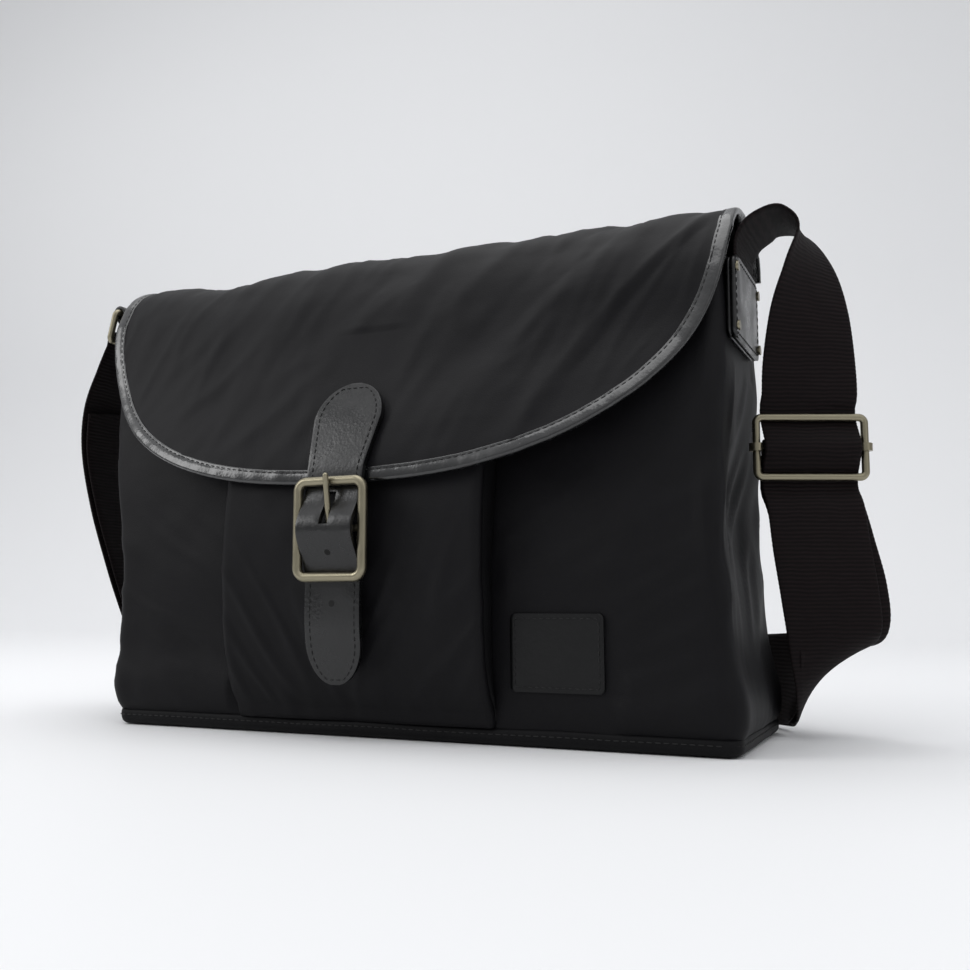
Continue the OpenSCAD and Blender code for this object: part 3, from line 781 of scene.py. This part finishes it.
flap_grid = push(flap_grid, flap_move, base_normals)
flap_normals = grid_normals(flap_grid)


def flap_piece(name, rows, node):
    g, n = flap_grid[rows], flap_normals[rows]
    piece = slab(name, g, 2.0, NYLON, n)
    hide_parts(node)
    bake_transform(piece)


flap_piece("flap_cloth_back", slice(0, SPLIT_ROW + 1), "flap_top_panel")
flap_piece("flap_cloth_front", slice(SPLIT_ROW, None), "flap_front_panel")


# ---------------------------------------------------------------- leather binding of the flap
def surface_frame(x, s):
    """Point and outward normal of the flap at x and s, without wrinkles."""
    p = flap_point(x, s)
    along = flap_point(x, min(s + 1, profile_s[-1])) - flap_point(x, max(s - 1, 0))
    across = flap_point(x + 1, s) - flap_point(x - 1, s)
    n = units(np.cross(along, across))
    if np.dot(n, [0, -0.6, 0.8]) < 0:
        n = -n
    return p, n


# The binding's middle line: up one end of the flap, round its edge and down the other end
BINDING_HALF, BINDING_STEP = 4.0, 1.3
binding_xs = [(-FLAP_HW + BINDING_HALF, s) for s in np.linspace(0, FOLD_S, 50)]
binding_xs += [(x, float(s_at_height(z))) for x, z in flap_edge(BINDING_HALF, 120, 254.0)]
binding_xs += [(FLAP_HW - BINDING_HALF, s) for s in np.linspace(FOLD_S, 0, 50)]
raw = [surface_frame(x, s) for x, s in binding_xs]
raw_p, raw_n = np.array([r[0] for r in raw]), np.array([r[1] for r in raw])
raw_s = lengths(raw_p)
steps_s = np.linspace(0, raw_s[-1], int(raw_s[-1] / BINDING_STEP))
bind_p = np.stack([np.interp(steps_s, raw_s, raw_p[:, k]) for k in range(3)], axis=1)
bind_n = units(np.stack([np.interp(steps_s, raw_s, raw_n[:, k]) for k in range(3)], axis=1))
for _ in range(3):
    bind_n[1:-1] = units(bind_n[:-2] + bind_n[1:-1] * 2 + bind_n[2:])
    bind_p[1:-1] = (bind_p[:-2] + bind_p[1:-1] * 2 + bind_p[2:]) / 4
bind_t = units(np.gradient(bind_p, axis=0))
bind_w = units(np.cross(bind_n, bind_t))
inside = np.array([0, 0, 230.0]) - bind_p
if np.sum(bind_w[len(bind_w) // 2] * inside[len(bind_w) // 2]) < 0:
    bind_w = -bind_w
for i, q in enumerate(bind_p):
    bind_p[i] = q + bind_n[i] * (0.30 * fuzz(*q, 7, 2.0) + 0.35 * fuzz(*q, 18, 4.0))
# Pinched at 2.4, where the seam is
SEAM_ACROSS = 2.4
BINDING_SECTION = [(-4.0, 0), (-3.8, 1.1), (-3.2, 1.75), (-2.2, 1.95), (0, 1.9), (1.6, 1.75),
                   (SEAM_ACROSS, 1.35), (3.2, 1.65), (3.9, 1.35), (4.0, 0.9), (4.0, -0.9), (3.9, -1.5),
                   (0, -1.8), (-3.2, -1.7), (-3.8, -1.1)]


def binding_piece(name, a, b, node):
    p, w, n = bind_p[a:b], bind_w[a:b], bind_n[a:b]
    body = strip_data(p, w, n, BINDING_SECTION)
    seam = p + w * SEAM_ACROSS + n * 1.30
    thread = join_data(stitches(seam, n, 3.9, 2.7, 0.34, 0.12))
    piece = combine(name, [(*body, LEATHER), (*thread, THREAD)])
    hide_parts(node)
    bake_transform(piece)


cuts = np.where(np.diff(np.sign(bind_p[:, 1] - flap_profile[split_at, 0])))[0]
cut_a, cut_b = int(cuts[0]) + 1, int(cuts[-1]) + 1
binding_piece("flap_binding_back_left", 0, cut_a + 1, "flap_top_binding_left")
binding_piece("flap_binding_back_right", cut_b - 1, len(bind_p), "flap_top_binding_right")
binding_piece("flap_binding_edge", cut_a, cut_b, "flap_front_binding")

# ---------------------------------------------------------------- closure strap
closure_line = smooth(CLOSURE, 12)
closure_s = lengths(closure_line)
HEAD_Z, TIP_Z = 166.0, 29.0
NECK_LOW, NECK_HIGH, TIP_LEN = 128, 140, 22
SLOT_HALF, SLOT_LOW, SLOT_HIGH = 2.6, 109.8, 126.0


def closure_half_width(z):
    """Half width of the strap at a height: a round head, a neck, an even strap and a round tip."""
    if z > HEAD_Z:
        return math.sqrt(max(9.0, (HEAD_W / 2) ** 2 - (z - HEAD_Z) ** 2))
    if z > NECK_LOW:
        widths = [STRAP_W / 2, STRAP_W / 2 + 0.5, HEAD_W / 2]
        return float(np.interp(z, [NECK_LOW, NECK_HIGH, HEAD_Z], widths))
    if z > TIP_Z + TIP_LEN:
        return STRAP_W / 2
    return STRAP_W / 2 * math.sqrt(max(0.02, 1 - ((TIP_Z + TIP_LEN - z) / TIP_LEN) ** 2))


def closure_at(s, x, lift=0.0):
    """Point of the strap's middle surface at arc length s and x, lifted towards the front."""
    p = at(closure_line, [s])[0]
    q = at(closure_line, [min(s + 1, closure_s[-1])])[0] - at(closure_line, [max(s - 1, 0)])[0]
    n = np.array([q[1], -q[0]]) / np.linalg.norm(q)
    if n[0] > 0:
        n = -n
    return np.array([x, p[0] + n[0] * lift, p[1] + n[1] * lift])


closure_steps = np.concatenate([np.linspace(0, 8, 14)[:-1], np.linspace(8, closure_s[-1] - 10, 96),
                                np.linspace(closure_s[-1] - 10, closure_s[-1] - 1.3, 14)[1:]])
# Columns as shares of the half width, on each side of the two that run along the prong's slot
SHARES = [-1, -.93, -.8, -.6, -.4]
SLOT_COL = len(SHARES)
closure_grid = np.zeros((len(closure_steps), 2 * SLOT_COL + 2, 3))
for i, s in enumerate(closure_steps):
    hw = closure_half_width(at(closure_line, [s])[0][1])
    slot_x = min(SLOT_HALF, hw * 0.2)
    left = [share * hw for share in SHARES]
    for j, x in enumerate(left + [-slot_x, slot_x] + [-x for x in left[::-1]]):
        closure_grid[i, j] = closure_at(s, x)
keep = np.ones((closure_grid.shape[0] - 1, closure_grid.shape[1] - 1), bool)
row_z = (closure_grid[:-1, 0, 2] + closure_grid[1:, 0, 2]) / 2
keep[(row_z > SLOT_LOW) & (row_z < SLOT_HIGH), SLOT_COL] = False
closure_normals = grid_normals(closure_grid)
if closure_normals[60, 3][1] > 0:
    closure_grid = closure_grid[:, ::-1]
    closure_normals = grid_normals(closure_grid)
closure = slab("closure_leather", closure_grid, 2.8, TAB_LEATHER, closure_normals, keep=keep, round_edge=0.9)
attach(closure, "flap_front")
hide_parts("closure_strap")


def closure_seam(from_s, to_s, sign, inset):
    """Line on the face of the strap, inset from its left (-1) or right (1) edge."""
    line = []
    for s in np.arange(from_s, to_s, 0.8):
        z = at(closure_line, [s])[0][1]
        line.append(closure_at(s, sign * max(0.0, closure_half_width(z) - inset), 1.45))
    return np.array(line)


head_left, head_right = closure_seam(3.2, 62, -1, 3.2), closure_seam(3.2, 62, 1, 3.2)
head_seam = np.concatenate([head_left[::-1], head_right])
tail_start = float(closure_s[np.argmin(np.abs(closure_line[:, 1] - 80))])
tail_left = closure_seam(tail_start, closure_s[-1] - 3.2, -1, 3.0)
tail_seam = np.concatenate([tail_left, closure_seam(tail_start, closure_s[-1] - 3.2, 1, 3.0)[::-1]])
seam_runs = []
for seam in (head_seam, tail_seam):
    even = at(seam, np.linspace(0, lengths(seam)[-1], len(seam) * 2))
    seam_runs.append(stitches(even, np.tile([0, -0.94, 0.34], (len(even), 1)), 3.7, 2.6, 0.33, 0.05))
closure_thread = stitch_object("closure_stitching", seam_runs, THREAD)
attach(closure_thread, "flap_front")

# Punched holes, as discs in a darker colour let into the strap's face: painted shade in place of the holes'
# shaded insides
HOLE_SHADE = material("painted_hole_shade", (0.002, 0.002, 0.002), 0.9)
HOLE_R, HOLE_DEPTH, HOLE_ZS = 1.7, 0.8, (96.0, 70.0)
X_AXIS, Y_AXIS, Z_AXIS = np.array([1.0, 0, 0]), np.array([0, 1.0, 0]), np.array([0, 0, 1.0])
hole_parts = []
for z in HOLE_ZS:
    s = float(closure_s[np.argmin(np.abs(closure_line[:, 1] - z))])
    c = closure_at(s, 0, 1.44)
    ahead = units(closure_at(s + 1, 0) - closure_at(s - 1, 0))
    turns = np.linspace(0, 2 * math.pi, 20)[:-1]
    rim = [c + HOLE_R * (math.cos(a) * X_AXIS + math.sin(a) * ahead) for a in turns]
    back = [q + HOLE_DEPTH * Y_AXIS for q in rim]
    k = len(rim)
    faces = [tuple(range(k)), tuple(range(2 * k - 1, k - 1, -1))]
    faces += [(a, a + k, (a + 1) % k + k, (a + 1) % k) for a in range(k)]
    hole_parts.append((rim + back, faces))
holes = mesh_object("closure_holes", *join_data(hole_parts), HOLE_SHADE, smooth_shade=False)
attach(holes, "flap_front")

# ---------------------------------------------------------------- strap anchors
def rounded_sheet(half_w, half_h, r, n):
    """Rows of (across, up) points of a rectangle with round corners."""
    ups = np.concatenate([-half_h + r * (1 - np.cos(np.linspace(0, math.pi / 2, 6))),
                          np.linspace(-half_h + r, half_h - r, n)[1:-1],
                          half_h - r * (1 - np.cos(np.linspace(math.pi / 2, 0, 6)))])
    rows = []
    for u in ups:
        over = max(0.0, abs(u) - (half_h - r))
        w = half_w - r + math.sqrt(max(0.0, r * r - over * over))
        rows.append([(w * k, u) for k in np.linspace(-1, 1, 25)])
    return np.array(rows)


def plate(centre, u_dir, v_dir, half_w, half_h, r, bulge=None):
    """Grid of a round-cornered plate; bulge(u, v) moves it out along its normal."""
    flat = rounded_sheet(half_w, half_h, r, 18)
    n = np.cross(u_dir, v_dir)
    g = centre + flat[..., :1] * u_dir + flat[..., 1:] * v_dir
    if bulge:
        g = g + np.vectorize(bulge)(flat[..., 0], flat[..., 1])[..., None] * n
    return g


def border(half_w, half_h, r, inset):
    """Closed (u, v) line inside the edge of a round-cornered rectangle."""
    w, h, k = half_w - inset, half_h - inset, max(0.8, r - inset)
    pts = []
    for cx, cy, start in ((1, 1, 0), (-1, 1, 90), (-1, -1, 180), (1, -1, 270)):
        for a in np.linspace(start, start + 90, 6):
            a = math.radians(a)
            pts.append((cx * (w - k) + k * math.cos(a), cy * (h - k) + k * math.sin(a)))
    pts.append(pts[0])
    line = np.array(pts)
    return at(line, np.linspace(0, lengths(line)[-1], 260))


def flat_stitches(seam, out, pitch=3.9, length=2.7, r=0.33):
    """Stitches along a seam on a flat face that looks out."""
    return join_data(stitches(seam, np.tile(out, (len(seam), 1)), pitch, length, r))


# Half width, half height, corner radius and seam inset of the right anchor
RIGHT_W, RIGHT_H, RIGHT_R, RIGHT_SEAM = 32, 21, 5, 2.6


def right_bulge(u, v):
    """The right anchor rises over the webbing that is sewn under it."""
    return 0.7 * (1 / (1 + math.exp((abs(u) - 26) * 1.2))) * (1 / (1 + math.exp(-(v + 10) * 0.9)))


right_at, under_at = np.array([193.6, 0, 221.0]), np.array([191.2, 0, 221.0])
right_body = slab_data(plate(right_at, Y_AXIS, Z_AXIS, RIGHT_W, RIGHT_H, RIGHT_R, right_bulge), 2.4)
right_under = slab_data(plate(under_at, Y_AXIS, Z_AXIS, RIGHT_W - 0.4, RIGHT_H - 0.4, RIGHT_R), 2.0)
right_seam = np.array([right_at + u * Y_AXIS + v * Z_AXIS + (right_bulge(u, v) + 1.15) * X_AXIS
                       for u, v in border(RIGHT_W, RIGHT_H, RIGHT_R, RIGHT_SEAM)])
right_thread = flat_stitches(right_seam, X_AXIS)
anchor_r = combine("anchor_patch_right",
                   [(*right_body, TAB_LEATHER), (*right_under, TAB_LEATHER), (*right_thread, THREAD)])
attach(anchor_r, "bag")
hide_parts("anchor_right")

TAB_HALF, TAB_TURN_R = 26.4, 3.5
# The tab goes up the gusset, round the ring's top bar and back down, as (x, z)
turn = [(RING_TOP[0] + TAB_TURN_R * math.cos(a), RING_TOP[2] + TAB_TURN_R * math.sin(a))
        for a in np.radians(range(0, 226, 15))]
tab_path = smooth([(-191.4, 199), (-191.4, 222), (-191.8, 240), (-195.2, 250), (-198.6, 255)] + turn[1:]
                  + [(-200.6, 248.5), (-197.2, 242), (-194.4, 233), (-194.0, 218), (-194.0, 199)], 4)
tab_rows = at(tab_path, np.linspace(0, lengths(tab_path)[-1], 110))
tab_grid = np.array([[(x, y, z) for y in np.linspace(-TAB_HALF, TAB_HALF, 16)] for x, z in tab_rows])
tab_body = slab_data(tab_grid, 1.7)
tab_seam = np.array([(-194.9, u, 221 + v) for u, v in border(TAB_HALF, 21, 1.5, 2.6)])
tab_thread = flat_stitches(tab_seam, -X_AXIS)
anchor_l = combine("anchor_tab_left", [(*tab_body, TAB_LEATHER), (*tab_thread, THREAD)])
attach(anchor_l, "bag")
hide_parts("anchor_left")

# ---------------------------------------------------------------- label patch, left plain
PATCH_X, PATCH_Z = 110.0, 46.0
PATCH_W, PATCH_H, PATCH_R, PATCH_SEAM = 24, 19, 2.5, 2.4


def on_front(u, v, out):
    """Point of the front panel at u, v from the middle of the patch, out from the cloth."""
    return PATCH_X + u, front_y(PATCH_Z + v) - out, PATCH_Z + v


patch_flat = rounded_sheet(PATCH_W, PATCH_H, PATCH_R, 16)
patch_body = slab_data(np.array([[on_front(u, v, 2.3) for u, v in row] for row in patch_flat]), 1.7)
patch_seam = np.array([on_front(u, v, 3.2) for u, v in border(PATCH_W, PATCH_H, PATCH_R, PATCH_SEAM)])
patch_thread = flat_stitches(patch_seam, -Y_AXIS, 3.4, 2.2, 0.3)
patch = combine("label_leather", [(*patch_body, LABEL_LEATHER), (*patch_thread, THREAD)])
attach(patch, "bag")
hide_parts("label_patch")

# ---------------------------------------------------------------- studio, in metres
FLOOR = material("studio_floor", (0.845, 0.848, 0.857), 0.6, spec=0.1)
SWEEP_HALF, SWEEP_FRONT, SWEEP_TURN_Y, SWEEP_R, SWEEP_TOP = 4.0, -2.2, 1.3, 0.9, 3.2
curl = np.linspace(0.1, math.pi / 2, 14)
depth = np.concatenate([np.linspace(SWEEP_FRONT, SWEEP_TURN_Y, 8), SWEEP_TURN_Y + SWEEP_R * np.sin(curl),
                        [SWEEP_TURN_Y + SWEEP_R]])
rise = np.concatenate([np.zeros(8), SWEEP_R * (1 - np.cos(curl)), [SWEEP_TOP]])
sweep = np.array([[(x, y, z) for x in (-SWEEP_HALF, SWEEP_HALF)] for y, z in zip(depth, rise)]) / MM
sweep_faces = [(2 * i, 2 * i + 1, 2 * i + 3, 2 * i + 2) for i in range(len(sweep) - 1)]
stage_floor = mesh_object("studio_sweep", sweep.reshape(-1, 3), sweep_faces, FLOOR)


def area_light(name, place, target, size, power):
    lamp = bpy.data.lights.new(name, "AREA")
    lamp.shape = "RECTANGLE"
    lamp.size, lamp.size_y = size
    lamp.energy = power
    obj = bpy.data.objects.new(name, lamp)
    obj.location = place
    obj.rotation_euler = (Vector(target) - Vector(place)).to_track_quat("-Z", "Y").to_euler()
    bpy.context.scene.collection.objects.link(obj)


area_light("light_top", (-0.1, -0.1, 1.5), (0, 0, 0.15), (1.5, 1.1), 7.4)
area_light("light_left", (-1.2, -0.9, 0.9), (0, 0, 0.15), (0.7, 0.9), 7)
area_light("light_right", (1.5, -0.7, 0.8), (0, 0, 0.15), (0.8, 1.2), 1.5)
area_light("light_backdrop", (-1.7, 0.9, 1.8), (-1.7, 2.4, 0.8), (3.2, 0.8), 8.5)

# The surroundings are darker towards the horizon and brighter overhead, as under a large soft lamp
world = bpy.data.worlds.new("studio_world")
world.use_nodes = True
sky, sky_links = world.node_tree.nodes, world.node_tree.links
sky_place = sky.new("ShaderNodeTexCoord")
sky_axes = sky.new("ShaderNodeSeparateXYZ")
sky_ramp = sky.new("ShaderNodeMapRange")
for socket, value in (("From Min", 0.0), ("From Max", 0.9), ("To Min", 0.36), ("To Max", 1.04)):
    sky_ramp.inputs[socket].default_value = value
sky_links.new(sky_place.outputs["Generated"], sky_axes.inputs["Vector"])
sky_links.new(sky_axes.outputs["Z"], sky_ramp.inputs["Value"])
sky_links.new(sky_ramp.outputs["Result"], sky["Background"].inputs["Strength"])
sky["Background"].inputs["Color"].default_value = (0.92, 0.93, 0.95, 1)
bpy.context.scene.world = world
bpy.context.scene.view_settings.view_transform = "Standard"
